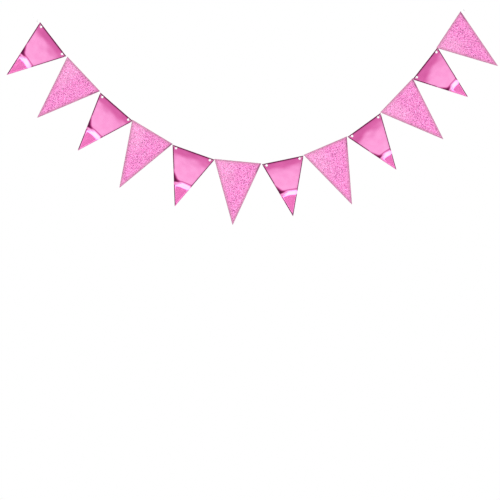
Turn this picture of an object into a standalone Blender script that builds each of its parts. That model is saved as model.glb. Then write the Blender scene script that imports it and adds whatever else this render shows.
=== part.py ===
"""Party bunting: twelve triangular pennants, foil and glitter by turns, hung on one fine line.

Metres, +Z up. The line runs to the right along +X and the decorated faces look towards -Y.
The origin is the far end of the left loop, where a nail or hook holds the line up.
"""

import math
from collections import namedtuple

import bmesh
import bpy
from mathutils import Matrix, Vector

MM = 0.001
FRONT = Vector((0, -1, 0))

# The pennants from left to right: width across the top and drop to the tip in millimetres, the
# climb of the top edge in degrees, which is how far down or up the hung line runs there, the
# length of line in millimetres between it and the pennant before (less than none where their
# corners overlap), where the tip lies as a share of the width, and how much lower than usual the
# sheet's main crease lies, as a share of the drop.
Pennant = namedtuple("Pennant", "finish width drop heading gap tip crease_shift")
PENNANTS = (
    Pennant("foil", 112.0, 152.0, -52.5, 0.0, 0.50, 0.00),
    Pennant("glitter", 123.5, 166.0, -46.7, 3.0, 0.50, 0.00),
    Pennant("foil", 112.5, 151.5, -41.2, 3.5, 0.49, 0.00),
    Pennant("glitter", 122.5, 168.5, -31.0, -2.5, 0.51, 0.00),
    Pennant("foil", 116.0, 148.5, -19.6, 1.5, 0.51, 0.01),
    Pennant("glitter", 122.5, 166.0, -5.5, 0.0, 0.52, 0.00),
    Pennant("foil", 110.5, 148.0, 11.7, 3.0, 0.47, -0.01),
    Pennant("glitter", 122.5, 167.5, 23.2, 1.5, 0.53, 0.00),
    Pennant("foil", 106.5, 143.0, 35.9, 1.5, 0.50, 0.08),
    Pennant("glitter", 123.0, 166.5, 46.4, 1.0, 0.51, 0.00),
    Pennant("foil", 105.5, 141.0, 52.0, -2.5, 0.50, 0.07),
    Pennant("glitter", 114.5, 159.0, 56.5, -2.5, 0.43, 0.00),
)

# How each kind of sheet curls: at a share of the drop, its lean out of the upright in degrees.
Fold = namedtuple("Fold", "down lean")
FOLDS = {
    "foil": (
        Fold(0.000, 9.2),
        Fold(0.085, 8.8),
        Fold(0.120, 6.8),
        Fold(0.525, 6.4),
        Fold(0.550, 8.3),
        Fold(0.575, 2.7),
        Fold(0.640, 2.3),
        Fold(0.670, 0.3),
        Fold(1.000, 0.1),
    ),
    "glitter": (
        Fold(0.00, 0.5),
        Fold(0.35, 2.0),
        Fold(0.75, 1.0),
        Fold(1.00, 3.0),
    ),
}
MAIN_CREASE = 0.60
# How far the sides of a sheet as wide as its top edge would stand back at half the drop.
CROWN = {"foil": 0.3 * MM, "glitter": 0.8 * MM}

SHEET_THICKNESS = 1.0 * MM
TIP_WIDTH = 0.8 * MM
GRID_COLUMNS = 6
GRID_ROWS = 14

# The punched holes near a foil pennant's two top corners.
HOLE_DIAMETER = 6.0 * MM
HOLE_ALONG = 11.5 * MM
HOLE_BELOW = 5.5 * MM
HOLE_SIDES = 24
CUTTER_LENGTH = 8.0 * MM

# The line: in front of a foil pennant's corners, behind it between the holes, and behind the
# glitter pennants, whose backs are fixed to it near their corners. A foil pennant hangs by its
# holes, so it lies lower on the line.
LINE_DIAMETER = 0.8 * MM
LINE_BELOW = 5.5 * MM
FOIL_HANGS_LOWER = 1.8 * MM
LINE_CLEARANCE = 0.4 * MM
TACK_ALONG = 9.0 * MM
CROSSING_REACH = 2.2 * MM
CROSSING_STEPS = 3
SHEET_OFFSET = (SHEET_THICKNESS + LINE_DIAMETER) / 2 + LINE_CLEARANCE

# The end loops, each with its knot and a trimmed tail.
LOOP_LENGTH = 17.0 * MM
LOOP_WIDTH = 9.0 * MM
LOOP_POINTS = 25
KNOT_FROM_CORNER = 7.0 * MM
KNOT_LENGTH = 4.2 * MM
KNOT_WIDTH = 2.4 * MM
KNOT_TURNS = 2
TURN_SPACING = 1.3 * MM
TAIL_LENGTH = 6.5 * MM
TAIL_ANGLE = 35.0
TAIL_POINTS = 5
PIECE_GAP = 0.3 * MM

# Where a pennant lies in the upright plane: its top left corner, along its top edge, and down.
Place = namedtuple("Place", "corner along down")


def clear_scene():
    for obj in list(bpy.data.objects):
        bpy.data.objects.remove(obj, do_unlink=True)


def new_collection(name):
    collection = bpy.data.collections.new(name)
    bpy.context.scene.collection.children.link(collection)
    return collection


def new_material(name, colour, roughness, metallic):
    material = bpy.data.materials.new(name)
    material.use_nodes = True
    shader = material.node_tree.nodes["Principled BSDF"]
    shader.inputs["Base Color"].default_value = (*colour, 1.0)
    shader.inputs["Roughness"].default_value = roughness
    shader.inputs["Metallic"].default_value = metallic
    return material


def add_object(name, data, collection, material=None):
    obj = bpy.data.objects.new(name, data)
    collection.objects.link(obj)
    if material:
        data.materials.append(material)
    return obj


def hide_cutter(obj):
    obj.hide_render = True
    obj.display_type = "WIRE"


def to_mesh_object(obj, collection):
    """The curve object as a closed mesh object of the same name, for a Boolean to take."""
    name = obj.name
    graph = bpy.context.evaluated_depsgraph_get()
    mesh = bpy.data.meshes.new_from_object(obj.evaluated_get(graph))
    bm = bmesh.new()
    bm.from_mesh(mesh)
    bmesh.ops.remove_doubles(bm, verts=bm.verts, dist=0.00001)
    bm.to_mesh(mesh)
    bm.free()
    matrix = obj.matrix_world.copy()
    bpy.data.objects.remove(obj, do_unlink=True)
    solid = add_object(name, mesh, collection)
    solid.matrix_world = matrix
    return solid


# The hung line's layout.


def directions(heading):
    """Unit vectors along a pennant's top edge and down its middle."""
    turn = math.radians(heading)
    along = Vector((math.cos(turn), 0, math.sin(turn)))
    down = Vector((math.sin(turn), 0, -math.cos(turn)))
    return along, down


def line_below(row):
    """How far below a pennant's top edge the line runs."""
    return LINE_BELOW - FOIL_HANGS_LOWER if row.finish == "foil" else LINE_BELOW


def pennant_places():
    """Each pennant's place, chained along the line from the left loop's far end."""
    along, down = directions(PENNANTS[0].heading)
    start = along * (LOOP_LENGTH + KNOT_FROM_CORNER)
    places = []
    for row in PENNANTS:
        start = start + along * (row.gap * MM)
        along, down = directions(row.heading)
        places.append(Place(start - down * line_below(row), along, down))
        start = start + along * (row.width * MM)
    return places


# The sheets.


def shifted(down, shift):
    """A fold's share of the drop when the main crease lies lower by the shift."""
    if down <= MAIN_CREASE:
        return down * (MAIN_CREASE + shift) / MAIN_CREASE
    return 1 - (1 - down) * (1 - MAIN_CREASE - shift) / (1 - MAIN_CREASE)


def forward_curl(row, down):
    """How far the curl has carried a pennant's sheet forward at a share of its drop."""
    folds = FOLDS[row.finish]
    forward = 0.0
    for upper, lower in zip(folds, folds[1:]):
        start, end = shifted(upper.down, row.crease_shift), shifted(lower.down, row.crease_shift)
        reach = min(down, end) - start
        if reach <= 0:
            break
        lean = upper.lean + (lower.lean - upper.lean) * reach / (end - start)
        forward += math.tan(math.radians((upper.lean + lean) / 2)) * reach * row.drop * MM
    return forward


def sheet_forward(row, across, down):
    """How far forward the sheet's middle lies of the line, across and down being shares.

    A foil sheet hangs just behind the line at its corners, and a glitter one just before it.
    """
    hung = SHEET_OFFSET if row.finish == "glitter" else -SHEET_OFFSET
    curl = forward_curl(row, down) - forward_curl(row, line_below(row) / (row.drop * MM))
    aside = (2 * across - 1) * (1 - down)
    arch = CROWN[row.finish] * 4 * down * (1 - down) * aside**2
    return hung + curl - arch


def sheet_point(row, place, across, down):
    width = row.width * MM
    narrowed = width + (TIP_WIDTH - width) * down
    from_corner = width / 2 + (across - 0.5) * narrowed + (row.tip - 0.5) * width * down
    in_plane = place.corner + place.along * from_corner + place.down * (row.drop * MM * down)
    return in_plane + FRONT * sheet_forward(row, across, down)


def pennant_mesh(name, row, place):
    """The sheet's middle surface: a grid drawn in towards the tip and bent to its curl."""
    bm = bmesh.new()
    bmesh.ops.create_grid(bm, x_segments=GRID_COLUMNS, y_segments=GRID_ROWS, size=0.5)
    for vert in bm.verts:
        vert.co = sheet_point(row, place, vert.co.x + 0.5, 0.5 - vert.co.y)
    mesh = bpy.data.meshes.new(name)
    bm.to_mesh(mesh)
    bm.free()
    mesh.shade_smooth()
    return mesh


def add_pennant(name, row, place, collection, material):
    pennant = add_object(name, pennant_mesh(name, row, place), collection, material)
    thicken = pennant.modifiers.new("thickness", "SOLIDIFY")
    thicken.thickness = SHEET_THICKNESS
    thicken.offset = 0.0
    return pennant


def hole_centres(row, place):
    level = place.corner + place.down * HOLE_BELOW + FRONT * sheet_forward(row, 0.5, 0)
    reaches = (HOLE_ALONG, row.width * MM - HOLE_ALONG)
    return [level + place.along * reach for reach in reaches]


def punch_holes(pennant, row, place, cutters):
    for side, centre in zip(("left", "right"), hole_centres(row, place)):
        name = f"{pennant.name}_{side}_punch"
        bm = bmesh.new()
        bmesh.ops.create_cone(
            bm,
            cap_ends=True,
            segments=HOLE_SIDES,
            radius1=HOLE_DIAMETER / 2,
            radius2=HOLE_DIAMETER / 2,
            depth=CUTTER_LENGTH,
        )
        mesh = bpy.data.meshes.new(name)
        bm.to_mesh(mesh)
        bm.free()
        punch = add_object(name, mesh, cutters)
        punch.location = centre
        punch.rotation_euler = (math.radians(90), 0, 0)
        hide_cutter(punch)
        cut = pennant.modifiers.new(f"{side} hole", "BOOLEAN")
        cut.operation = "DIFFERENCE"
        cut.solver = "EXACT"
        cut.object = punch


# The line and its end loops.


def crossing(centre, along, starts_in_front):
    """The line's points as it passes through a hole, on a smooth S from one side to the other."""
    points = []
    for step in range(CROSSING_STEPS + 1):
        share = step / CROSSING_STEPS
        eased = (1 - math.cos(math.pi * share)) / 2
        behind = eased if starts_in_front else 1 - eased
        offset = along * (CROSSING_REACH * (2 * share - 1))
        points.append(centre + offset - FRONT * (2 * SHEET_OFFSET * behind))
    return points


def knot_centres(places):
    """The middles of the two end knots, in line with the line's ends."""
    first, last = places[0], places[-1]
    far_corner = last.corner + last.along * (PENNANTS[-1].width * MM)
    left = first.corner - first.along * KNOT_FROM_CORNER + first.down * line_below(PENNANTS[0])
    right = far_corner + last.along * KNOT_FROM_CORNER + last.down * line_below(PENNANTS[-1])
    return left, right


def line_points(places):
    left, right = knot_centres(places)
    clear_of_knot = KNOT_LENGTH / 2 + PIECE_GAP
    points = [left + places[0].along * clear_of_knot]
    for row, place in zip(PENNANTS, places):
        level = place.corner + place.down * line_below(row)
        if row.finish == "foil":
            near = level + place.along * HOLE_ALONG
            far = level + place.along * (row.width * MM - HOLE_ALONG)
            points += crossing(near, place.along, True)
            points += crossing(far, place.along, False)
        else:
            points.append(level + place.along * TACK_ALONG)
            points.append(level + place.along * (row.width * MM - TACK_ALONG))
    points.append(right - places[-1].along * clear_of_knot)
    return points


def add_tube(name, points, collection, material=None):
    curve = bpy.data.curves.new(name, "CURVE")
    curve.dimensions = "3D"
    curve.bevel_depth = LINE_DIAMETER / 2
    curve.bevel_resolution = 2
    curve.use_fill_caps = True
    spline = curve.splines.new("POLY")
    spline.points.add(len(points) - 1)
    for point, target in zip(spline.points, points):
        point.co = (*target, 1.0)
    return add_object(name, curve, collection, material)


def loop_points(knot, outward, sideways):
    """A drop-shaped loop: both ends in the knot, the round end a loop's length away."""
    points = []
    for step in range(LOOP_POINTS):
        turn = 2 * math.pi * step / (LOOP_POINTS - 1)
        reach = LOOP_LENGTH * (1 - math.cos(turn)) / 2
        # Peaks at 1, two thirds of the way round from the knot to the round end.
        bulge = math.sin(turn) * (1 - math.cos(turn)) / (0.75 * math.sqrt(3))
        points.append(knot + outward * reach + sideways * (LOOP_WIDTH / 2 * bulge))
    return points


def tail_points(knot, outward, sideways):
    """The trimmed end, which leaves the knot aslant and straightens as it goes."""
    points = []
    for step in range(TAIL_POINTS):
        share = step / (TAIL_POINTS - 1)
        turn = math.radians(TAIL_ANGLE) * (1.5 - share / 2)
        heading = sideways * math.sin(turn) - outward * math.cos(turn)
        points.append(knot + heading * (TAIL_LENGTH * share) - FRONT * (KNOT_WIDTH / 3))
    return points


def add_knot_core(name, knot, outward, collection, material):
    bm = bmesh.new()
    bmesh.ops.create_uvsphere(bm, u_segments=12, v_segments=8, radius=1.0)
    size = Matrix.Diagonal((KNOT_WIDTH / 2, KNOT_WIDTH / 2, KNOT_LENGTH / 2))
    bmesh.ops.transform(bm, matrix=size.to_4x4(), verts=bm.verts)
    mesh = bpy.data.meshes.new(name)
    bm.to_mesh(mesh)
    bm.free()
    mesh.shade_smooth()
    core = add_object(name, mesh, collection, material)
    core.location = knot
    core.rotation_euler = outward.to_track_quat("Z", "Y").to_euler()
    return core


def add_knot_turn(name, centre, outward, collection):
    """One turn of the line round the knot."""
    bpy.ops.mesh.primitive_torus_add(
        major_segments=16,
        minor_segments=8,
        major_radius=KNOT_WIDTH / 2,
        minor_radius=LINE_DIAMETER / 2,
        location=centre,
        rotation=outward.to_track_quat("Z", "Y").to_euler(),
    )
    turn = bpy.context.object
    turn.name = name
    for holder in list(turn.users_collection):
        holder.objects.unlink(turn)
    collection.objects.link(turn)
    return turn


def add_end_loop(name, knot, outward, sideways, collection, cutters, material):
    """A loop, its knot and its tail as one solid."""
    core = add_knot_core(name, knot, outward, collection, material)
    loop = add_tube(f"{name}_bight", loop_points(knot, outward, sideways), cutters)
    tail = add_tube(f"{name}_tail", tail_points(knot, outward, sideways), cutters)
    joined = [to_mesh_object(loop, cutters), to_mesh_object(tail, cutters)]
    for index in range(KNOT_TURNS):
        place = (index - (KNOT_TURNS - 1) / 2) * TURN_SPACING
        centre = knot + outward * place
        joined.append(add_knot_turn(f"{name}_turn_{index + 1}", centre, outward, cutters))
    for piece in joined:
        hide_cutter(piece)
        join = core.modifiers.new(piece.name, "BOOLEAN")
        join.operation = "UNION"
        join.solver = "EXACT"
        join.object = piece
    return core


def main():
    clear_scene()
    bunting = new_collection("fabric_bunting")
    cutters = new_collection("cutters")
    materials = {
        "foil": new_material("foil", (0.90, 0.17, 0.52), 0.12, 1.0),
        "glitter": new_material("glitter", (0.91, 0.26, 0.60), 0.45, 0.4),
        "line": new_material("line", (0.93, 0.93, 0.92), 0.25, 0.0),
    }
    places = pennant_places()
    for number, (row, place) in enumerate(zip(PENNANTS, places), 1):
        name = f"{row.finish}_pennant_{number:02d}"
        pennant = add_pennant(name, row, place, bunting, materials[row.finish])
        if row.finish == "foil":
            punch_holes(pennant, row, place, cutters)
    add_tube("hanging_line", line_points(places), bunting, materials["line"])
    left, right = knot_centres(places)
    first, last = places[0], places[-1]
    ends = (
        ("end_loop_left", left, -first.along, first.down),
        ("end_loop_right", right, last.along, last.down),
    )
    for name, knot, outward, sideways in ends:
        add_end_loop(name, knot, outward, sideways, bunting, cutters, materials["line"])


main()
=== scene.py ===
"""The looks of the hanging bunting: foil and glitter pennants by turns on one fine nylon line."""

import math
from collections import namedtuple

import bmesh
import bpy
import numpy as np
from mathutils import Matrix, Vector


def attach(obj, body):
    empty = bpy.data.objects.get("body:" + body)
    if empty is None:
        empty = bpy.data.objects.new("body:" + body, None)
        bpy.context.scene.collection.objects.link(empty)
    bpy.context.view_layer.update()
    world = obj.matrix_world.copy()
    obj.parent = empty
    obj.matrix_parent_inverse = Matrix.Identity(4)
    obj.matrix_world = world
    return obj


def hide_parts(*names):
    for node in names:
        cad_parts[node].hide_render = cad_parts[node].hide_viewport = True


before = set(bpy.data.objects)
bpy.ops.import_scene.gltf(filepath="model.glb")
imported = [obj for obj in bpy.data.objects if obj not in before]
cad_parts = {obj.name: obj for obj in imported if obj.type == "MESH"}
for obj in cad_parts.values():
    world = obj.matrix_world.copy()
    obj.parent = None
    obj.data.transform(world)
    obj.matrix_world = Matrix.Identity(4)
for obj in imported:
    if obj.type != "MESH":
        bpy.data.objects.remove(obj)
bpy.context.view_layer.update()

MM = 0.001
FRONT = Vector((0, -1, 0))
BODY = "root"

# The pennants from left to right: width across the top and drop to the tip in millimetres, the
# climb of the top edge in degrees, the millimetres of line between it and the pennant before,
# where the tip lies as a share of the width, and how much lower than usual the sheet's crease
# and the left end of its top band lie, as shares of the drop.
Pennant = namedtuple("Pennant", "finish width drop heading gap tip crease_shift band_slant")
PENNANTS = (
    Pennant("foil", 112.0, 152.0, -52.5, 0.0, 0.50, 0.00, 0.0),
    Pennant("glitter", 123.5, 166.0, -46.7, 3.0, 0.50, 0.00, 0.0),
    Pennant("foil", 112.5, 151.5, -41.2, 3.5, 0.49, 0.00, 0.0),
    Pennant("glitter", 122.5, 168.5, -31.0, -2.5, 0.51, 0.00, 0.0),
    Pennant("foil", 116.0, 148.5, -19.6, 1.5, 0.51, 0.01, 0.0),
    Pennant("glitter", 122.5, 166.0, -5.5, 0.0, 0.52, 0.00, 0.0),
    Pennant("foil", 110.5, 148.0, 11.7, 3.0, 0.47, -0.01, 0.0),
    Pennant("glitter", 122.5, 167.5, 23.2, 1.5, 0.53, 0.00, 0.0),
    Pennant("foil", 106.5, 143.0, 35.9, 1.5, 0.50, 0.08, 0.065),
    Pennant("glitter", 123.0, 166.5, 46.4, 1.0, 0.51, 0.00, 0.0),
    Pennant("foil", 105.5, 141.0, 52.0, -2.5, 0.50, 0.07, 0.065),
    Pennant("glitter", 114.5, 159.0, 56.5, -2.5, 0.43, 0.00, 0.0),
)

# How each kind of sheet curls. A crease crosses it at a share of the drop, given at the left edge,
# in the middle and at the right edge, and the sheet leans out of the upright there by so many
# degrees.
Crease = namedtuple("Crease", "down lean")
CREASES = {
    "foil": (
        Crease((0.000, 0.000, 0.000), (9.5, 9.4, 9.4)),
        Crease((0.105, 0.085, 0.090), (9.1, 8.9, 8.8)),
        Crease((0.125, 0.118, 0.122), (8.4, 8.3, 8.3)),
        Crease((0.165, 0.150, 0.170), (7.7, 7.7, 8.0)),
        Crease((0.210, 0.200, 0.210), (7.2, 7.4, 7.6)),
        Crease((0.300, 0.300, 0.300), (6.05, 6.8, 6.7)),
        Crease((0.450, 0.450, 0.450), (5.35, 6.1, 5.6)),
        Crease((0.525, 0.528, 0.535), (4.6, 5.3, 4.7)),
        Crease((0.550, 0.541, 0.550), (5.0, 9.8, 9.7)),
        Crease((0.588, 0.549, 0.561), (4.6, 9.6, 9.5)),
        Crease((0.610, 0.567, 0.577), (4.3, 2.7, 2.7)),
        Crease((0.636, 0.632, 0.640), (3.6, 2.4, 2.5)),
        Crease((0.660, 0.660, 0.670), (0.2, 0.2, 0.2)),
        Crease((1.000, 1.000, 1.000), (0.1, 0.1, 0.1)),
    ),
    "glitter": (
        Crease((0.00, 0.00, 0.00), (0.5, 0.5, 0.5)),
        Crease((0.35, 0.35, 0.35), (2.0, 2.0, 2.0)),
        Crease((0.75, 0.75, 0.75), (1.0, 1.0, 1.0)),
        Crease((1.00, 1.00, 1.00), (3.0, 3.0, 3.0)),
    ),
}
# The crease that a pennant's crease_shift moves, as a share of the drop, and the share across at
# which the middle values hold.
MAIN_CREASE = 0.60
MIDDLE = 0.48
# A pennant's band_slant lowers the left ends of the creases above BAND_ENDS. From there to
# FIELD_ENDS its left edge leans less, by BAND_EASES degrees times the slant, to make up for it.
BAND_ENDS = 0.25
FIELD_ENDS = 0.54
BAND_EASES = 11.0
# A slanting fold lifts a foil sheet's left side. It runs from the left edge, at FOLD_FROM of the
# drop, to a point at shares across and down, and bends to a slope over a softness in mm. It opens
# between FOLD_OPENS, counted on from FOLD_FROM, and fades between FOLD_FADES, sooner to the right
# by FOLD_RISES. Next to the edge, within a reach in mm, it curls further forward.
FOLD_FROM = 0.372
FOLD_TO = (0.27, 0.512)
FOLD_SLOPE = 0.16
FOLD_SOFTNESS = 8.0
FOLD_OPENS = (-0.01, 0.065)
FOLD_FADES = (0.588, 0.652)
FOLD_RISES = 0.09
FOLD_EDGE_SLOPE = 0.05
FOLD_EDGE_REACH = 8.0
# A sheet arches back towards its sides, by up to 0.42 of this a quarter of the way down.
CROWN = {"foil": 0.3 * MM, "glitter": 0.8 * MM}

SHEET_THICKNESS = 1.0 * MM
TIP_WIDTH = 0.8 * MM
HOLE_DIAMETER = 6.0 * MM
HOLE_ALONG = 11.5 * MM
HOLE_BELOW = 5.5 * MM
HOLE_SIDES = 48
PUNCH_DEPTH = 12.0 * MM
# A point counts as on a hole's rim up to this many times the hole's radius from its centre.
RIM_TOLERANCE = 1.01

LINE_DIAMETER = 0.8 * MM
LINE_BELOW = 5.5 * MM
FOIL_HANGS_LOWER = 1.8 * MM
LINE_CLEARANCE = 0.4 * MM
TACK_ALONG = 9.0 * MM
CROSSING_REACH = 2.2 * MM
CROSSING_STEPS = 6
SHEET_OFFSET = (SHEET_THICKNESS + LINE_DIAMETER) / 2 + LINE_CLEARANCE
PIECE_GAP = 0.3 * MM
TUBE_ROUNDNESS = 3
KNOT_FROM_CORNER = 7.0 * MM
KNOT_LENGTH = 4.2 * MM
KNOT_WIDTH = 2.4 * MM
# The loop is a teardrop without its points nearer than CLEAR_OF_KNOT times half the knot's length.
# BULGE_PEAK is the most that sin(turn) * (1 - cos(turn)) reaches.
LOOP_LENGTH = 17.0 * MM
LOOP_WIDTH = 9.0 * MM
LOOP_STEPS = 48
CLEAR_OF_KNOT = 1.2
BULGE_PEAK = 0.75 * math.sqrt(3)
# The line is coiled round this share of the knot and ends in a trimmed tail.
COIL_SHARE = 0.8
COIL_TURNS = 3.25
COIL_STEPS = 16
TAIL_LENGTH = 6.5 * MM
TAIL_ANGLE = 35.0
TAIL_SIDEWAYS = 0.4
TAIL_SHARES = (0.3, 0.65, 1.0)

# The photograph's frame, in pixels, its scale, and the camera's distance in metres.
PHOTO_SIDE = 500
PHOTO_MM_PER_PIXEL = 2.6
PHOTO_FIRST_CORNER = (40.1, 22.1)
CAMERA_AHEAD = 4.0

Place = namedtuple("Place", "corner along down")


# The hung line's layout, as in the part's source.


def directions(heading):
    """Along a top edge that climbs by so many degrees, and down square to it."""
    turn = math.radians(heading)
    along = Vector((math.cos(turn), 0, math.sin(turn)))
    down = Vector((math.sin(turn), 0, -math.cos(turn)))
    return along, down


def line_below(row):
    """How far below a pennant's top edge the line runs."""
    return LINE_BELOW - FOIL_HANGS_LOWER if row.finish == "foil" else LINE_BELOW


def pennant_places():
    """Each pennant's top left corner and its own directions along and down."""
    along, down = directions(PENNANTS[0].heading)
    start = along * (LOOP_LENGTH + KNOT_FROM_CORNER)
    places = []
    for row in PENNANTS:
        start = start + along * (row.gap * MM)
        along, down = directions(row.heading)
        places.append(Place(start - down * line_below(row), along, down))
        start = start + along * (row.width * MM)
    return places


def crossing(centre, along, starts_in_front):
    """The line's way through a hole, from one side of the sheet to the other."""
    points = []
    for step in range(CROSSING_STEPS + 1):
        share = step / CROSSING_STEPS
        turned = (1 - math.cos(math.pi * share)) / 2
        behind = turned if starts_in_front else 1 - turned
        offset = along * (CROSSING_REACH * (2 * share - 1))
        points.append(centre + offset - FRONT * (2 * SHEET_OFFSET * behind))
    return points


def knot_centres(places):
    """The middle of each end loop's knot, just beyond the end pennants in line with the line."""
    first, last = places[0], places[-1]
    far_corner = last.corner + last.along * (PENNANTS[-1].width * MM)
    left = first.corner - first.along * KNOT_FROM_CORNER + first.down * line_below(PENNANTS[0])
    right = far_corner + last.along * KNOT_FROM_CORNER + last.down * line_below(PENNANTS[-1])
    return left, right


def line_points(places):
    """The line's route, from just past one knot to just before the other."""
    left, right = knot_centres(places)
    clear_of_knot = KNOT_LENGTH / 2 + PIECE_GAP
    points = [left + places[0].along * clear_of_knot]
    for row, place in zip(PENNANTS, places):
        level = place.corner + place.down * line_below(row)
        if row.finish == "foil":
            near = level + place.along * HOLE_ALONG
            far = level + place.along * (row.width * MM - HOLE_ALONG)
            points += crossing(near, place.along, True)
            points += crossing(far, place.along, False)
        else:
            points.append(level + place.along * TACK_ALONG)
            points.append(level + place.along * (row.width * MM - TACK_ALONG))
    points.append(right - places[-1].along * clear_of_knot)
    return points


# Materials. Colours are linear, and a patches value is a noise texture's scale.
FOIL_PINKS = ((0.35, (0.965, 0.235, 0.60)), (0.65, (0.99, 0.262, 0.635)))
FOIL_PATCHES = 60.0
# The painted shade that darkens the foil along its cut edge.
FOIL_EDGE_SHADE = (0.42, 0.07, 0.24)
FOIL_ROUGHNESS = (0.045, 0.075)
FOIL_GLOSS_PATCHES = 220.0
GLUE_PINKS = ((0.30, (0.70, 0.10, 0.40)), (0.70, (0.92, 0.24, 0.60)))
GLUE_PATCHES = 900.0
# The painted shade that darkens the glitter's glue along its cut edge.
GLITTER_EDGE_SHADE = (0.40, 0.17, 0.28)
FLAKE_TONES = (
    (0.00, (0.12, 0.012, 0.09)),
    (0.17, (0.52, 0.090, 0.34)),
    (0.34, (0.89, 0.248, 0.61)),
    (0.84, (0.98, 0.363, 0.72)),
    (1.00, (1.00, 0.51, 0.81)),
)
# The painted sheen's colour, mixed into the flakes at the upper left.
FLAKE_SHEEN = (0.94, 0.68, 0.81)
# The painted shade that flakes near the edges are mixed towards.
FLAKE_EDGE_SHADE = (0.43, 0.21, 0.28)
CLOTH_PINKS = ((0.47, 0.13, 0.28), (0.66, 0.25, 0.44))
CLOTH_FADED = (0.58, 0.20, 0.38)
CLOTH_PATCHES = 35.0
THREADS_PER_METRE = 800
# A wave texture of scale 1 has this many waves a metre.
WAVES_AT_SCALE_1 = 10 / math.pi
WEAVE_DEPTH = 0.2 * MM
LINE_WHITES = ((0.3, (0.90, 0.91, 0.92)), (0.7, (0.98, 0.98, 0.98)))
LINE_PATCHES = 400.0
FLOOR_GREY = (0.86, 0.86, 0.86, 1.0)


def add_node(tree, kind, **values):
    """A node with its own settings."""
    node = tree.nodes.new(kind)
    for name, value in values.items():
        setattr(node, name, value)
    return node


def set_inputs(node, **values):
    """Constants on a node's sockets, with an underscore for each blank in a socket's name."""
    for name, value in values.items():
        node.inputs[name.replace("_", " ")].default_value = value


def new_material(name, **values):
    """A material, its node tree and its shader, with constants on the shader's sockets."""
    material = bpy.data.materials.new(name)
    material.use_nodes = True
    shader = material.node_tree.nodes["Principled BSDF"]
    set_inputs(shader, **values)
    return material, material.node_tree, shader


def ramp_node(tree, stops):
    """A colour ramp from (position, colour) stops."""
    node = add_node(tree, "ShaderNodeValToRGB")
    elements = node.color_ramp.elements
    while len(elements) < len(stops):
        elements.new(0.5)
    for element, (position, colour) in zip(elements, stops):
        element.position = position
        element.color = (*colour, 1.0)
    return node


def place_map(tree):
    """Where a point lies on its flat sheet, in metres."""
    return add_node(tree, "ShaderNodeUVMap", uv_map="place").outputs["UV"]


def attribute(tree, name):
    """A value that the mesh carries."""
    return add_node(tree, "ShaderNodeAttribute", attribute_name=name).outputs["Fac"]


def noise_node(tree, vector, scale):
    """Soft random patches on the flat sheet."""
    node = add_node(tree, "ShaderNodeTexNoise", noise_dimensions="2D")
    set_inputs(node, Scale=scale)
    tree.links.new(vector, node.inputs["Vector"])
    return node.outputs["Fac"]


def mix_colours(tree, share, first, second):
    """Two colours mixed, each a plain colour or another node's output."""
    node = add_node(tree, "ShaderNodeMix", data_type="RGBA")
    tree.links.new(share, node.inputs["Factor"])
    for socket, colour in ((node.inputs[6], first), (node.inputs[7], second)):
        if isinstance(colour, tuple):
            socket.default_value = (*colour, 1.0)
        else:
            tree.links.new(colour, socket)
    return node.outputs[2]


def foil_material():
    """Mirror-like metallised sheet, a little uneven in tint and gloss, darkened by painted shade
    along its cut edge.
    """
    material, tree, shader = new_material("pink_foil", Metallic=1.0)
    place = place_map(tree)
    patches = ramp_node(tree, FOIL_PINKS)
    tree.links.new(noise_node(tree, place, FOIL_PATCHES), patches.inputs["Fac"])
    # Painted shade along the cut edge.
    colour = mix_colours(tree, attribute(tree, "cut_edge_shade"), patches.outputs["Color"], FOIL_EDGE_SHADE)
    tree.links.new(colour, shader.inputs["Base Color"])
    gloss = add_node(tree, "ShaderNodeMapRange")
    set_inputs(gloss, To_Min=FOIL_ROUGHNESS[0], To_Max=FOIL_ROUGHNESS[1])
    tree.links.new(noise_node(tree, place, FOIL_GLOSS_PATCHES), gloss.inputs["Value"])
    tree.links.new(gloss.outputs["Result"], shader.inputs["Roughness"])
    return material


def glitter_ground_material():
    """The tinted glue that the flakes lie in, darkened by painted shade along the cut edge."""
    material, tree, shader = new_material("glitter_ground", Roughness=0.6)
    glue = ramp_node(tree, GLUE_PINKS)
    tree.links.new(noise_node(tree, place_map(tree), GLUE_PATCHES), glue.inputs["Fac"])
    # Painted shade along the cut edge.
    colour = mix_colours(tree, attribute(tree, "cut_edge_shade"), glue.outputs["Color"], GLITTER_EDGE_SHADE)
    tree.links.new(colour, shader.inputs["Base Color"])
    return material


def flake_material():
    """Glitter, with each flake's own tone, given a painted sheen at the upper left and painted
    shade towards the edges.
    """
    material, tree, shader = new_material("glitter_flakes", Metallic=0.3, Roughness=0.45)
    tone = ramp_node(tree, FLAKE_TONES)
    tree.links.new(attribute(tree, "tone"), tone.inputs["Fac"])
    # Painted sheen at the upper left.
    sheened = mix_colours(tree, attribute(tree, "tint"), tone.outputs["Color"], FLAKE_SHEEN)
    # Painted shade towards the sheet's edges.
    edge_shaded = mix_colours(tree, attribute(tree, "rim"), sheened, FLAKE_EDGE_SHADE)
    tree.links.new(edge_shaded, shader.inputs["Base Color"])
    return material


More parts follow.
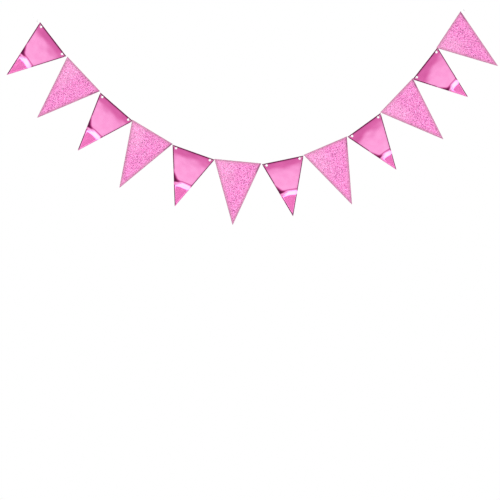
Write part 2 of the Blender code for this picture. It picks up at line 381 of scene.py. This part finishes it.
def back_material():
    """The backing cloth: a fine plain weave."""
    material, tree, shader = new_material("backing_cloth", Roughness=0.85)
    place = place_map(tree)
    weave = add_node(tree, "ShaderNodeMath", operation="MULTIPLY")
    for direction, factor in zip(("X", "Y"), weave.inputs):
        wave = add_node(tree, "ShaderNodeTexWave", wave_type="BANDS", bands_direction=direction)
        set_inputs(wave, Scale=THREADS_PER_METRE / WAVES_AT_SCALE_1)
        tree.links.new(place, wave.inputs["Vector"])
        tree.links.new(wave.outputs["Fac"], factor)
    tint = mix_colours(tree, weave.outputs[0], *CLOTH_PINKS)
    faded = mix_colours(tree, noise_node(tree, place, CLOTH_PATCHES), tint, CLOTH_FADED)
    tree.links.new(faded, shader.inputs["Base Color"])
    bump = add_node(tree, "ShaderNodeBump")
    set_inputs(bump, Strength=0.35, Distance=WEAVE_DEPTH)
    tree.links.new(weave.outputs[0], bump.inputs["Height"])
    tree.links.new(bump.outputs["Normal"], shader.inputs["Normal"])
    return material


def line_material():
    """Clear nylon with a milky cast."""
    material, tree, shader = new_material(
        "nylon_line", Roughness=0.15, IOR=1.53, Transmission_Weight=0.75
    )
    cast = add_node(tree, "ShaderNodeTexNoise")
    set_inputs(cast, Scale=LINE_PATCHES)
    ramp = ramp_node(tree, LINE_WHITES)
    tree.links.new(cast.outputs["Fac"], ramp.inputs["Fac"])
    tree.links.new(ramp.outputs["Color"], shader.inputs["Base Color"])
    return material


# Pieces.


def add_object(name, data, *materials):
    """A new object in the scene."""
    obj = bpy.data.objects.new(name, data)
    bpy.context.scene.collection.objects.link(obj)
    for material in materials:
        data.materials.append(material)
    return obj


def add_tube(name, points, material):
    """A length of line through the points."""
    curve = bpy.data.curves.new(name, "CURVE")
    curve.dimensions = "3D"
    curve.bevel_depth = LINE_DIAMETER / 2
    curve.bevel_resolution = TUBE_ROUNDNESS
    curve.use_fill_caps = True
    spline = curve.splines.new("POLY")
    spline.points.add(len(points) - 1)
    for point, target in zip(spline.points, points):
        point.co = (*target, 1.0)
    return add_object(name, curve, material)


# The grid of a sheet's mesh, in mm: the steps in from each edge, the columns between them and the
# height of a row. Near the tip the steps shrink, so that their reach times EDGE_ROOM still fits.
EDGE_STEPS = (0.0, 0.3, 0.6, 0.95, 1.35, 1.8, 2.3, 3.0, 3.8)
EDGE_ROOM = 1.3
COLUMNS_BETWEEN = 28
ROW_STEP = 1.0
# The grid on which a sheet's curl is worked out. Near the tip, where places across it crowd
# together, the sheet counts as no narrower than a share of its width.
FIELD_COLUMNS = 121
FIELD_ROWS = 601
CURL_NARROWEST = 0.08
FOLD_NARROWEST = 0.1
SMALLEST_STEP = 1e-6
# The edges roll back, from a reach in mm, and turn to a slope over an onset in mm.
Roll = namedtuple("Roll", "reach onset slope")
GLITTER_ROLL = Roll(1.0, 0.5, 0.15)
LEFT_ROLL = {"foil": Roll(3.2, 0.8, 0.255), "glitter": GLITTER_ROLL}
RIGHT_ROLL = {"foil": Roll(2.7, 0.8, 0.25), "glitter": GLITTER_ROLL}
TOP_ROLL = {"foil": Roll(3.3, 0.8, 0.09), "glitter": GLITTER_ROLL}
# The right roll opens out where the white band meets it: where it starts and ends, as shares of
# the drop, and over how much of the drop.
BAND_MEETS = (0.572, 0.638)
BAND_OPENS = 0.02
# Slight waves in every sheet: length and height in mm and the way each runs, in degrees. Each
# pennant's waves start a step further on.
Ripple = namedtuple("Ripple", "length height turn")
RIPPLES = (Ripple(41, 0.030, 28), Ripple(29, 0.016, 71), Ripple(19, 0.007, 115))
PHASE_STEP = 2.4
# A dark outline of painted shade covers the sheet's cut edge for so many mm and fades within
# EDGE_FADES mm more. On a foil sheet a fainter painted shade of the same colour reaches further in.
SHADED_OUTLINE = {"foil": 0.1, "glitter": 0.9}
EDGE_FADES = 0.5
PAINTED_EDGE_SHADE = {"foil": 0.22, "glitter": 0.0}
PAINTED_SHADE_REACH = 8.0


def eased(share):
    """0 up to a share of 0 and 1 from a share of 1, smooth between."""
    share = np.clip(share, 0, 1)
    return share * share * (3 - 2 * share)


def fading(value, bounds):
    """1 up to the first bound, 0 past the last."""
    first, last = bounds
    return 1 - eased((value - first) / (last - first))


def between_edges(values, across):
    """Left edge, middle and right edge values, blended at a share of the way across."""
    left, middle, right = values
    to_left = eased(1 - across / MIDDLE)
    to_right = eased((across - MIDDLE) / (1 - MIDDLE))
    return middle + (left - middle) * to_left + (right - middle) * to_right


def shifted(down, shift):
    """A share of the drop, moved along as the main crease moves down by the shift."""
    if down <= MAIN_CREASE:
        return down * (MAIN_CREASE + shift) / MAIN_CREASE
    return 1 - (1 - down) * (1 - MAIN_CREASE - shift) / (1 - MAIN_CREASE)


def crease_line(downs, row):
    """Where a crease lies on one pennant: at the left edge, in the middle and at the right edge."""
    left, middle, right = [shifted(down, row.crease_shift) for down in downs]
    if 0 < downs[0] < BAND_ENDS:
        left += row.band_slant
    return left, middle, right


def crease_leans(crease, row):
    """A crease's leans; below a band's lowered left end the left edge leans less to make up."""
    left, middle, right = crease.lean
    if BAND_ENDS < crease.down[0] < FIELD_ENDS:
        left -= row.band_slant * BAND_EASES
    return left, middle, right


def curl_field(row):
    """How far forward the curl carries the sheet, in mm, on a grid of rows down and across."""
    down = np.linspace(0, 1, FIELD_ROWS)[:, None]
    side = np.linspace(-1, 1, FIELD_COLUMNS)[None, :]
    across = np.clip((side / np.maximum(1 - down, CURL_NARROWEST) + 1) / 2, 0, 1)
    down = np.broadcast_to(down, across.shape)
    lean = np.zeros(across.shape)
    creases = CREASES[row.finish]
    for upper, lower in zip(creases, creases[1:]):
        start = between_edges(crease_line(upper.down, row), across)
        end = between_edges(crease_line(lower.down, row), across)
        first = between_edges(crease_leans(upper, row), across)
        last = between_edges(crease_leans(lower, row), across)
        share = (down - start) / np.maximum(end - start, SMALLEST_STEP)
        lean = np.where((share >= 0) & (share <= 1), first + (last - first) * share, lean)
    slope = np.tan(np.radians(lean))
    step = row.drop / (FIELD_ROWS - 1)
    curl = np.zeros(across.shape)
    curl[1:] = np.cumsum((slope[1:] + slope[:-1]) / 2 * step, axis=0)
    return curl


def rolled_back(distance, roll):
    """How far an edge has rolled back, in mm, at a distance in from it."""
    inward = np.maximum(roll.reach - distance, 0)
    turning = np.minimum(inward, roll.onset)
    straight = np.maximum(inward - roll.onset, 0)
    return roll.slope * (turning**2 / (2 * roll.onset) + straight)


def stations(half):
    """Distances in mm from one edge to the other, close together near both."""
    shrink = min(1.0, half / (EDGE_STEPS[-1] * EDGE_ROOM))
    near = [step * shrink for step in EDGE_STEPS]
    width = 2 * half - 2 * near[-1]
    inner = [near[-1] + width * i / COLUMNS_BETWEEN for i in range(1, COLUMNS_BETWEEN)]
    return near + inner + [2 * half - step for step in reversed(near)]


def sheet_rows(row):
    """Distances in mm down the drop, close together near the top edge."""
    count = round((row.drop - EDGE_STEPS[-1]) / ROW_STEP)
    step = (row.drop - EDGE_STEPS[-1]) / count
    return list(EDGE_STEPS) + [EDGE_STEPS[-1] + step * (i + 1) for i in range(count)]


def loop_outline(knot, outward, sideways):
    """Round the loop, from one side of the knot to the other."""
    points = []
    for step in range(LOOP_STEPS):
        turn = 2 * math.pi * step / LOOP_STEPS
        reach = LOOP_LENGTH * (1 - math.cos(turn)) / 2
        if reach < KNOT_LENGTH / 2 * CLEAR_OF_KNOT:
            continue
        bulge = math.sin(turn) * (1 - math.cos(turn)) / BULGE_PEAK
        points.append(knot + outward * reach + sideways * (LOOP_WIDTH / 2 * bulge))
    return points


def coil_and_tail(knot, outward, sideways):
    """Coiled round the knot, and its trimmed tail."""
    points = []
    steps = round(COIL_TURNS * COIL_STEPS)
    for step in range(steps + 1):
        turn = 2 * math.pi * COIL_TURNS * step / steps
        reach = KNOT_LENGTH / 2 * (2 * COIL_SHARE * step / steps - COIL_SHARE)
        round_knot = -sideways * math.cos(turn) + FRONT * math.sin(turn)
        points.append(knot + outward * reach + round_knot * (KNOT_WIDTH / 2))
    end = points[-1]
    slant = math.radians(TAIL_ANGLE)
    tail = sideways * math.sin(slant) * TAIL_SIDEWAYS - outward * math.cos(slant)
    for share in TAIL_SHARES:
        points.append(end + round_knot * (LINE_DIAMETER * share) + tail * (TAIL_LENGTH * share))
    return points


def end_loop_points(knot, outward, sideways):
    """A loop tied in the line's end: out, round the loop, back, and coiled round the knot."""
    half = KNOT_LENGTH / 2
    strand = sideways * (LINE_DIAMETER / 2)
    points = [knot - outward * (half + PIECE_GAP), knot - outward * half + strand]
    points.append(knot + outward * half + strand)
    points += loop_outline(knot, outward, sideways)
    points.append(knot + outward * half - strand)
    points.append(knot - outward * half * COIL_SHARE - strand)
    return points + coil_and_tail(knot, outward, sideways)


class SheetShape:
    """Where the middle of a pennant's sheet lies, from distances across and down in mm."""

    def __init__(self, row, place, number):
        self.row = row
        self.place = place
        self.phase = number * PHASE_STEP
        self.curl = curl_field(row)
        self.level = self.curl_at(0, line_below(row) / MM)

    def curl_at(self, across, down):
        """The curl field's value at a point, in mm forward."""
        row = self.row
        column = (across / (row.width / 2) + 1) / 2 * (FIELD_COLUMNS - 1)
        line = down / row.drop * (FIELD_ROWS - 1)
        column = min(max(column, 0), FIELD_COLUMNS - 1)
        line = min(max(line, 0), FIELD_ROWS - 1)
        i, j = min(int(line), FIELD_ROWS - 2), min(int(column), FIELD_COLUMNS - 2)
        y, x = line - i, column - j
        upper = self.curl[i, j] * (1 - x) + self.curl[i, j + 1] * x
        lower = self.curl[i + 1, j] * (1 - x) + self.curl[i + 1, j + 1] * x
        return upper * (1 - y) + lower * y

    def share_across(self, across, down):
        """A point's place across its own row of the sheet: 0 at the left edge, 1 at the right."""
        narrowed = max(1 - down / self.row.drop, FOLD_NARROWEST)
        return (across / (self.row.width / 2 * narrowed) + 1) / 2

    def fold_window(self, across, down):
        """How much of the slanting fold there is at a point."""
        row = self.row
        if row.finish != "foil":
            return 0.0
        opening = [shifted(FOLD_FROM + extra, row.crease_shift) for extra in FOLD_OPENS]
        closing = [shifted(place, row.crease_shift) for place in FOLD_FADES]
        share = down / row.drop
        risen = share + FOLD_RISES * self.share_across(across, down)
        return (1 - fading(share, opening)) * fading(risen, closing)

    def fold_at(self, across, down):
        """How far forward the slanting fold lifts a point, in mm, were it open everywhere."""
        row = self.row
        start, end = shifted(FOLD_FROM, row.crease_shift), shifted(FOLD_TO[1], row.crease_shift)
        corner = Vector(((start - 1) * row.width / 2, start * row.drop))
        far = Vector(((2 * FOLD_TO[0] - 1) * (1 - end) * row.width / 2, end * row.drop))
        run = (far - corner).normalized()
        beyond = run.cross(Vector((across, down)) - corner)
        bent = min(max(beyond, 0), FOLD_SOFTNESS)
        return FOLD_SLOPE * (bent**2 / (2 * FOLD_SOFTNESS) + max(beyond - FOLD_SOFTNESS, 0))

    def band_window(self, down):
        """How far the right roll is opened out by the white band."""
        row = self.row
        if row.finish != "foil":
            return 0.0
        start, end = [shifted(place, row.crease_shift) for place in BAND_MEETS]
        share = down / row.drop
        return eased((share - start) / BAND_OPENS) * (1 - eased((share - end) / BAND_OPENS))

    def ripple_at(self, across, down):
        """How far forward the waves carry a point, in mm."""
        height = 0.0
        for index, wave in enumerate(RIPPLES):
            turn = math.radians(wave.turn)
            run = across * math.cos(turn) + down * math.sin(turn)
            phase = self.phase * (index + 1)
            height += wave.height * math.sin(2 * math.pi * run / wave.length + phase)
        return height

    def half_width(self, down):
        """Half the sheet's width, in mm."""
        row = self.row
        return (row.width + (TIP_WIDTH / MM - row.width) * down / row.drop) / 2

    def edge_distance(self, across, down):
        """How far in from the nearer side edge and from the top edge, in mm."""
        row = self.row
        lean = math.cos(math.atan2(row.width / 2, row.drop))
        return (self.half_width(down) - abs(across)) * lean, down

    def forward(self, across, down):
        """How far forward of the line, in metres."""
        row = self.row
        share = down / row.drop
        hung = SHEET_OFFSET if row.finish == "glitter" else -SHEET_OFFSET
        curl = self.curl_at(across, down) - self.level
        curl += self.ripple_at(across, down)
        arch = CROWN[row.finish] * 4 * share * (1 - share) * (2 * across / row.width) ** 2
        from_side, from_top = self.edge_distance(across, down)
        side_roll = (LEFT_ROLL if across < 0 else RIGHT_ROLL)[row.finish]
        rolled = rolled_back(from_side, side_roll)
        folded = self.fold_window(across, down)
        if folded:
            curl += folded * self.fold_at(across, down)
        if folded and across < 0:
            rolled *= 1 - folded
            near_edge = max(FOLD_EDGE_REACH - from_side, 0)
            curl += folded * FOLD_EDGE_SLOPE * near_edge**2 / (2 * FOLD_EDGE_REACH)
        if across > 0:
            rolled *= 1 - self.band_window(down)
        rolled += rolled_back(from_top, TOP_ROLL[row.finish])
        return hung - arch + (curl - rolled) * MM

    def point(self, across, down):
        """A point's place in the frame."""
        row, place = self.row, self.place
        aside = (row.tip - 0.5) * row.width * down / row.drop
        in_plane = (
            place.corner
            + place.along * ((row.width / 2 + across + aside) * MM)
            + place.down * (down * MM)
        )
        return in_plane + FRONT * self.forward(across, down)


def sheet_mesh(name, shape):
    """The middle of a sheet as a fine grid, with its flat map and the painted shade along its cut
    edge marked.
    """
    rows = sheet_rows(shape.row)
    columns = len(stations(1))
    finish = shape.row.finish
    bm = bmesh.new()
    bmesh.ops.create_grid(bm, x_segments=columns - 1, y_segments=len(rows) - 1, size=0.5)
    uv = bm.loops.layers.uv.new("place")
    edge = bm.verts.layers.float.new("cut_edge_shade")
    flat = {}
    for vert in bm.verts:
        column = round((vert.co.x + 0.5) * (columns - 1))
        down = rows[round((0.5 - vert.co.y) * (len(rows) - 1))]
        half = shape.half_width(down)
        across = stations(half)[column] - half
        flat[vert] = (across * MM, -down * MM)
        vert.co = shape.point(across, down)
        # Painted shade along the cut edge, and on foil a fainter band of it further in.
        inward = max(min(shape.edge_distance(across, down)), 0)
        dark_outline = 1 - (inward - SHADED_OUTLINE[finish]) / EDGE_FADES
        painted_shade = PAINTED_EDGE_SHADE[finish] * (1 - inward / PAINTED_SHADE_REACH)
        vert[edge] = min(max(dark_outline, painted_shade, 0), 1)
    for face in bm.faces:
        for loop in face.loops:
            loop[uv].uv = flat[loop.vert]
    mesh = bpy.data.meshes.new(name)
    bm.to_mesh(mesh)
    bm.free()
    mesh.shade_smooth()
    return mesh


def apply_modifiers(obj):
    """Turn what an object's modifiers make into its mesh."""
    graph = bpy.context.evaluated_depsgraph_get()
    mesh = bpy.data.meshes.new_from_object(obj.evaluated_get(graph))
    obj.modifiers.clear()
    old = obj.data
    obj.data = mesh
    bpy.data.meshes.remove(old)
    mesh.name = obj.name


def sharpen_rims(mesh, centres):
    """Mark the edges round each hole as sharp, so that the face stays flat up to the hole."""
    for edge in mesh.edges:
        first, last = (mesh.vertices[index].co for index in edge.vertices)
        run = last - first
        through_sheet = math.hypot(run.x, run.z) < HOLE_DIAMETER / HOLE_SIDES / 2
        if through_sheet:
            continue
        for centre in centres:
            reach = max(math.hypot(p.x - centre.x, p.z - centre.z) for p in (first, last))
            if reach < HOLE_DIAMETER / 2 * RIM_TOLERANCE:
                edge.use_edge_sharp = True


def punch_holes(obj, row, place):
    """The two holes near a foil sheet's top corners."""
    level = place.corner + place.down * HOLE_BELOW
    reaches = (HOLE_ALONG, row.width * MM - HOLE_ALONG)
    centres = [level + place.along * reach for reach in reaches]
    punches = []
    for centre in centres:
        bm = bmesh.new()
        bmesh.ops.create_cone(
            bm,
            cap_ends=True,
            segments=HOLE_SIDES,
            radius1=HOLE_DIAMETER / 2,
            radius2=HOLE_DIAMETER / 2,
            depth=PUNCH_DEPTH,
        )
        mesh = bpy.data.meshes.new("punch")
        bm.to_mesh(mesh)
        bm.free()
        punch = add_object("punch", mesh)
        punch.location = centre
        punch.rotation_euler = (math.radians(90), 0, 0)
        cut = obj.modifiers.new("hole", "BOOLEAN")
        cut.operation = "DIFFERENCE"
        cut.solver = "EXACT"
        cut.object = punch
        punches.append(punch)
    bpy.context.view_layer.update()
    apply_modifiers(obj)
    sharpen_rims(obj.data, centres)
    for punch in punches:
        bpy.data.objects.remove(punch, do_unlink=True)


def add_sheet(name, shape, front, back):
    """A pennant's sheet at its full thickness, with one material for its back and its rim."""
    sheet = add_object(name, sheet_mesh(name, shape), front, back)
    thicken = sheet.modifiers.new("thickness", "SOLIDIFY")
    thicken.thickness = SHEET_THICKNESS
    thicken.offset = 0.0
    thicken.material_offset = 1
    thicken.material_offset_rim = 1
    bpy.context.view_layer.update()
    if shape.row.finish == "foil":
        punch_holes(sheet, shape.row, shape.place)
    else:
        apply_modifiers(sheet)
    return sheet


# The flakes lie in staggered rows. In mm: their spacing, their least and greatest radius, the
# margins that they keep from the sheet's sides and top and from its tip, and their height above it.
FLAKE_SPACING = 1.35
FLAKE_SIZE = (0.55, 1.15)
FLAKE_MARGIN = 1.2
FLAKE_TIP_MARGIN = 2.0
FLAKE_LIFT = 0.15
# Where a row starts, and how far a flake strays at random along its row and towards the next, as
# shares of the distance there. How far it tilts at random, in degrees.
FLAKE_START = 0.25
FLAKE_STRAYS = 0.25
FLAKE_TILT = 9.0
FLAKE_SIDES = 6
FLAKE_SEED = 41
# The flakes' flat map fills this share of its square.
MAP_SHARE = 0.96
# Painted shade darkens the flakes towards the sheet's edges: how much at the edge, and from how
# many mm in.
RIM_SHADE_DEPTH = 0.85
RIM_SHADE_REACH = 8.5
# A painted sheen makes a pennant's upper left a little paler, and painted shade makes its upper
# right edge darker: how much, and between which shares of the way across and down, or mm in from
# the edge, each fades.
PAINTED_SHEEN = 0.19
SHEEN_ACROSS = (0.25, 0.55)
SHEEN_DOWN = (0.25, 0.55)
RIGHT_EDGE_SHADE = 0.96
RIGHT_SHADE_REACH = (2.9, 5.2)
RIGHT_SHADE_DOWN = (0.10, 0.28)


def painted_sheen_share(shape, across, down):
    """How much painted sheen the glitter has at a point: most at the upper left."""
    share = down / shape.row.drop
    sideways = (across / (shape.row.width / 2 * (1 - share)) + 1) / 2
    return PAINTED_SHEEN * fading(sideways, SHEEN_ACROSS) * fading(share, SHEEN_DOWN)


def right_edge_shade_share(shape, across, down):
    """How much painted shade darkens the glitter at a point: most at the upper right edge."""
    if across < 0:
        return 0.0
    from_edge, _ = shape.edge_distance(across, down)
    share = down / shape.row.drop
    return RIGHT_EDGE_SHADE * fading(from_edge, RIGHT_SHADE_REACH) * fading(share, RIGHT_SHADE_DOWN)


def add_flakes(name, shape, seed, material):
    """Flakes set close together over a sheet's face, each with its own place, size and tilt."""
    rng = np.random.default_rng(seed)
    row = shape.row
    pitch = FLAKE_SPACING * math.sqrt(3) / 2
    verts, spots, faces, tones, sheens, rim_shades = [], [], [], [], [], []
    lift = FRONT * (SHEET_THICKNESS / 2 + FLAKE_LIFT * MM)
    for line in range(int(row.drop / pitch)):
        down = (line + 0.5) * pitch
        half = row.width / 2 * (1 - down / row.drop)
        count = int(2 * half / FLAKE_SPACING)
        for index in range(count):
            shift = 0.5 if line % 2 else 0.0
            across = -half + (index + shift + FLAKE_START) * FLAKE_SPACING
            across += rng.normal(0, FLAKE_STRAYS) * FLAKE_SPACING
            there = down + rng.normal(0, FLAKE_STRAYS) * pitch
            there = min(max(there, FLAKE_MARGIN), row.drop - FLAKE_TIP_MARGIN)
            limit = row.width / 2 * (1 - there / row.drop) - FLAKE_MARGIN
            if limit < 0:
                continue
            across = min(max(across, -limit), limit)
            middle = shape.point(across, there) + lift
            radius = rng.uniform(*FLAKE_SIZE) * MM
            tilt = np.radians(rng.normal(0, FLAKE_TILT, 2))
            spin = rng.uniform(0, math.pi)
            first = len(verts)
            for corner in range(FLAKE_SIDES):
                angle = spin + corner * 2 * math.pi / FLAKE_SIDES
                x, z = radius * math.cos(angle), radius * math.sin(angle)
                y = x * math.tan(tilt[0]) + z * math.tan(tilt[1])
                verts.append((middle.x + x, middle.y + y, middle.z + z))
                aside = (across * MM + x) / (row.width * MM)
                below = (there * MM - z) / (row.drop * MM)
                spots.append((0.5 + aside * MAP_SHARE, 0.5 + (0.5 - below) * MAP_SHARE))
            faces.append(tuple(range(first, first + FLAKE_SIDES)))
            # Painted shade along the upper right edge darkens the flake's tone.
            right_shade = right_edge_shade_share(shape, across, there)
            tones.append(rng.uniform() * (1 - right_shade))
            # Painted sheen at the upper left.
            sheens.append(painted_sheen_share(shape, across, there))
            # Painted shade on flakes near the sheet's edges, less where the upper right edge
            # already has its own.
            rim = RIM_SHADE_DEPTH * max(0, 1 - min(shape.edge_distance(across, there)) / RIM_SHADE_REACH)
            rim_shades.append(rim * (1 - right_shade / 2))
    mesh = bpy.data.meshes.new(name)
    mesh.from_pydata(verts, [], faces)
    flat = mesh.uv_layers.new(name="OFBake")
    for loop in mesh.loops:
        flat.data[loop.index].uv = spots[loop.vertex_index]
    for title, values in (("tone", tones), ("tint", sheens), ("rim", rim_shades)):
        layer = mesh.attributes.new(title, "FLOAT", "FACE")
        layer.data.foreach_set("value", np.array(values, np.float32))
    return add_object(name, mesh, material)


def add_camera():
    """Face on, at the photograph's own scale and framing."""
    data = bpy.data.cameras.new("camera")
    data.type = "ORTHO"
    data.ortho_scale = PHOTO_SIDE * PHOTO_MM_PER_PIXEL * MM
    camera = add_object("camera", data)
    corner = pennant_places()[0].corner
    across = (PHOTO_SIDE / 2 - PHOTO_FIRST_CORNER[0]) * PHOTO_MM_PER_PIXEL * MM
    drop = (PHOTO_SIDE / 2 - PHOTO_FIRST_CORNER[1]) * PHOTO_MM_PER_PIXEL * MM
    camera.location = (corner.x + across, -CAMERA_AHEAD, corner.z - drop)
    camera.rotation_euler = (math.radians(90), 0, 0)
    bpy.context.scene.camera = camera


# The studio as the bunting sees it: its colour by the angle in degrees from straight ahead.
STUDIO = (
    (0.0, (0.87, 0.73, 0.81)),
    (3.0, (0.87, 0.73, 0.81)),
    (4.0, (3.40, 3.40, 3.40)),
    (5.6, (3.40, 3.40, 3.40)),
    (6.2, (1.07, 1.58, 1.22)),
    (10.0, (1.05, 1.54, 1.19)),
    (12.0, (1.03, 1.43, 1.14)),
    (14.6, (1.02, 1.36, 1.12)),
    (17.2, (0.74, 0.51, 0.64)),
    (20.0, (0.62, 0.42, 0.54)),
    (21.5, (0.37, 0.15, 0.27)),
    (24.0, (0.33, 0.10, 0.22)),
    (26.2, (0.13, 0.05, 0.10)),
    (30.4, (0.13, 0.05, 0.10)),
    (33.0, (0.62, 0.50, 0.58)),
    (44.0, (0.95, 0.92, 0.95)),
    (180.0, (1.00, 1.00, 1.00)),
)
# The ramp's colours are divided by this, and the room is made that much stronger.
STUDIO_PEAK = 5.0
# Broad soft lights, each with its tilt from straight down in degrees and its strength.
SUNS = (("front_light", 70, 1.6), ("back_light", -70, 1.2))
SUN_SPREAD = 60
# The floor, in metres.
FLOOR_SIZE = 6.0
FLOOR_MIDDLE = 0.56
FLOOR_BELOW = 1.35


def light_studio():
    """The room that the foil reflects, plain white where the camera looks past the pennants."""
    scene = bpy.context.scene
    scene.view_settings.view_transform = "Standard"
    world = bpy.data.worlds.new("studio")
    scene.world = world
    world.use_nodes = True
    tree = world.node_tree
    tree.nodes.clear()
    output = add_node(tree, "ShaderNodeOutputWorld")
    place = add_node(tree, "ShaderNodeTexCoord")
    ahead = add_node(tree, "ShaderNodeVectorMath", operation="DOT_PRODUCT")
    ahead.inputs[1].default_value = FRONT
    turn = add_node(tree, "ShaderNodeMath", operation="ARCCOSINE")
    share = add_node(tree, "ShaderNodeMath", operation="DIVIDE")
    share.inputs[1].default_value = math.pi
    stops = [(angle / 180, [c / STUDIO_PEAK for c in colour]) for angle, colour in STUDIO]
    ramp = ramp_node(tree, stops)
    room = add_node(tree, "ShaderNodeBackground")
    set_inputs(room, Strength=STUDIO_PEAK)
    seen = add_node(tree, "ShaderNodeBackground")
    set_inputs(seen, Color=(1, 1, 1, 1))
    path = add_node(tree, "ShaderNodeLightPath")
    mix = add_node(tree, "ShaderNodeMixShader")
    link = tree.links.new
    link(place.outputs["Generated"], ahead.inputs[0])
    link(ahead.outputs["Value"], turn.inputs[0])
    link(turn.outputs[0], share.inputs[0])
    link(share.outputs[0], ramp.inputs["Fac"])
    link(ramp.outputs["Color"], room.inputs["Color"])
    link(path.outputs["Is Camera Ray"], mix.inputs["Fac"])
    link(room.outputs[0], mix.inputs[1])
    link(seen.outputs[0], mix.inputs[2])
    link(mix.outputs[0], output.inputs["Surface"])


def add_suns():
    """Soft lights from the front and from behind, which the foil doesn't mirror."""
    for name, tilt, strength in SUNS:
        data = bpy.data.lights.new(name, "SUN")
        data.energy = strength
        data.angle = math.radians(SUN_SPREAD)
        sun = add_object(name, data)
        sun.rotation_euler = (math.radians(tilt), 0, 0)
        sun.visible_glossy = False


def add_floor():
    """A pale floor below the front view."""
    middle = (FLOOR_MIDDLE, 0.0, -FLOOR_BELOW)
    bpy.ops.mesh.primitive_plane_add(size=FLOOR_SIZE, location=middle)
    floor = bpy.context.object
    floor.name = "floor"
    material, _, _ = new_material("pale_floor", Base_Color=FLOOR_GREY, Roughness=0.9)
    floor.data.materials.append(material)


def add_end_loops(places, nylon):
    """The loop tied at each end of the line, pointing away from the pennants."""
    left, right = knot_centres(places)
    ends = (
        ("left", left, -places[0].along, places[0].down),
        ("right", right, places[-1].along, places[-1].down),
    )
    loops = []
    for side, knot, outward, sideways in ends:
        loop = add_tube(f"loop_{side}", end_loop_points(knot, outward, sideways), nylon)
        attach(loop, BODY)
        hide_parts(f"end_loop_{side}")
        loops.append(loop)
    return loops


def add_line(places, nylon, loops):
    """The line that the pennants hang on, as one cord running between its end loops; the loops
    argument is not used.
    """
    points = line_points(places)
    line = add_tube("line", points, nylon)
    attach(line, BODY)
    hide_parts("hanging_line")


def add_pennant(number, row, place, front, back, glitter):
    """A pennant's sheet and, on a glitter one, its coat of flakes."""
    node = f"{row.finish}_pennant_{number:02d}"
    shape = SheetShape(row, place, number)
    sheet = add_sheet(f"{row.finish}_sheet_{number:02d}", shape, front, back)
    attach(sheet, BODY)
    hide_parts(node)
    if row.finish == "glitter":
        name = f"glitter_coat_{number:02d}"
        flakes = add_flakes(name, shape, FLAKE_SEED + number, glitter)
        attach(flakes, BODY)


def main():
    places = pennant_places()
    add_camera()
    light_studio()
    add_suns()
    add_floor()
    nylon = line_material()
    add_line(places, nylon, add_end_loops(places, nylon))
    fronts = {"foil": foil_material(), "glitter": glitter_ground_material()}
    back = back_material()
    glitter = flake_material()
    for number, (row, place) in enumerate(zip(PENNANTS, places), 1):
        add_pennant(number, row, place, fronts[row.finish], back, glitter)


main()
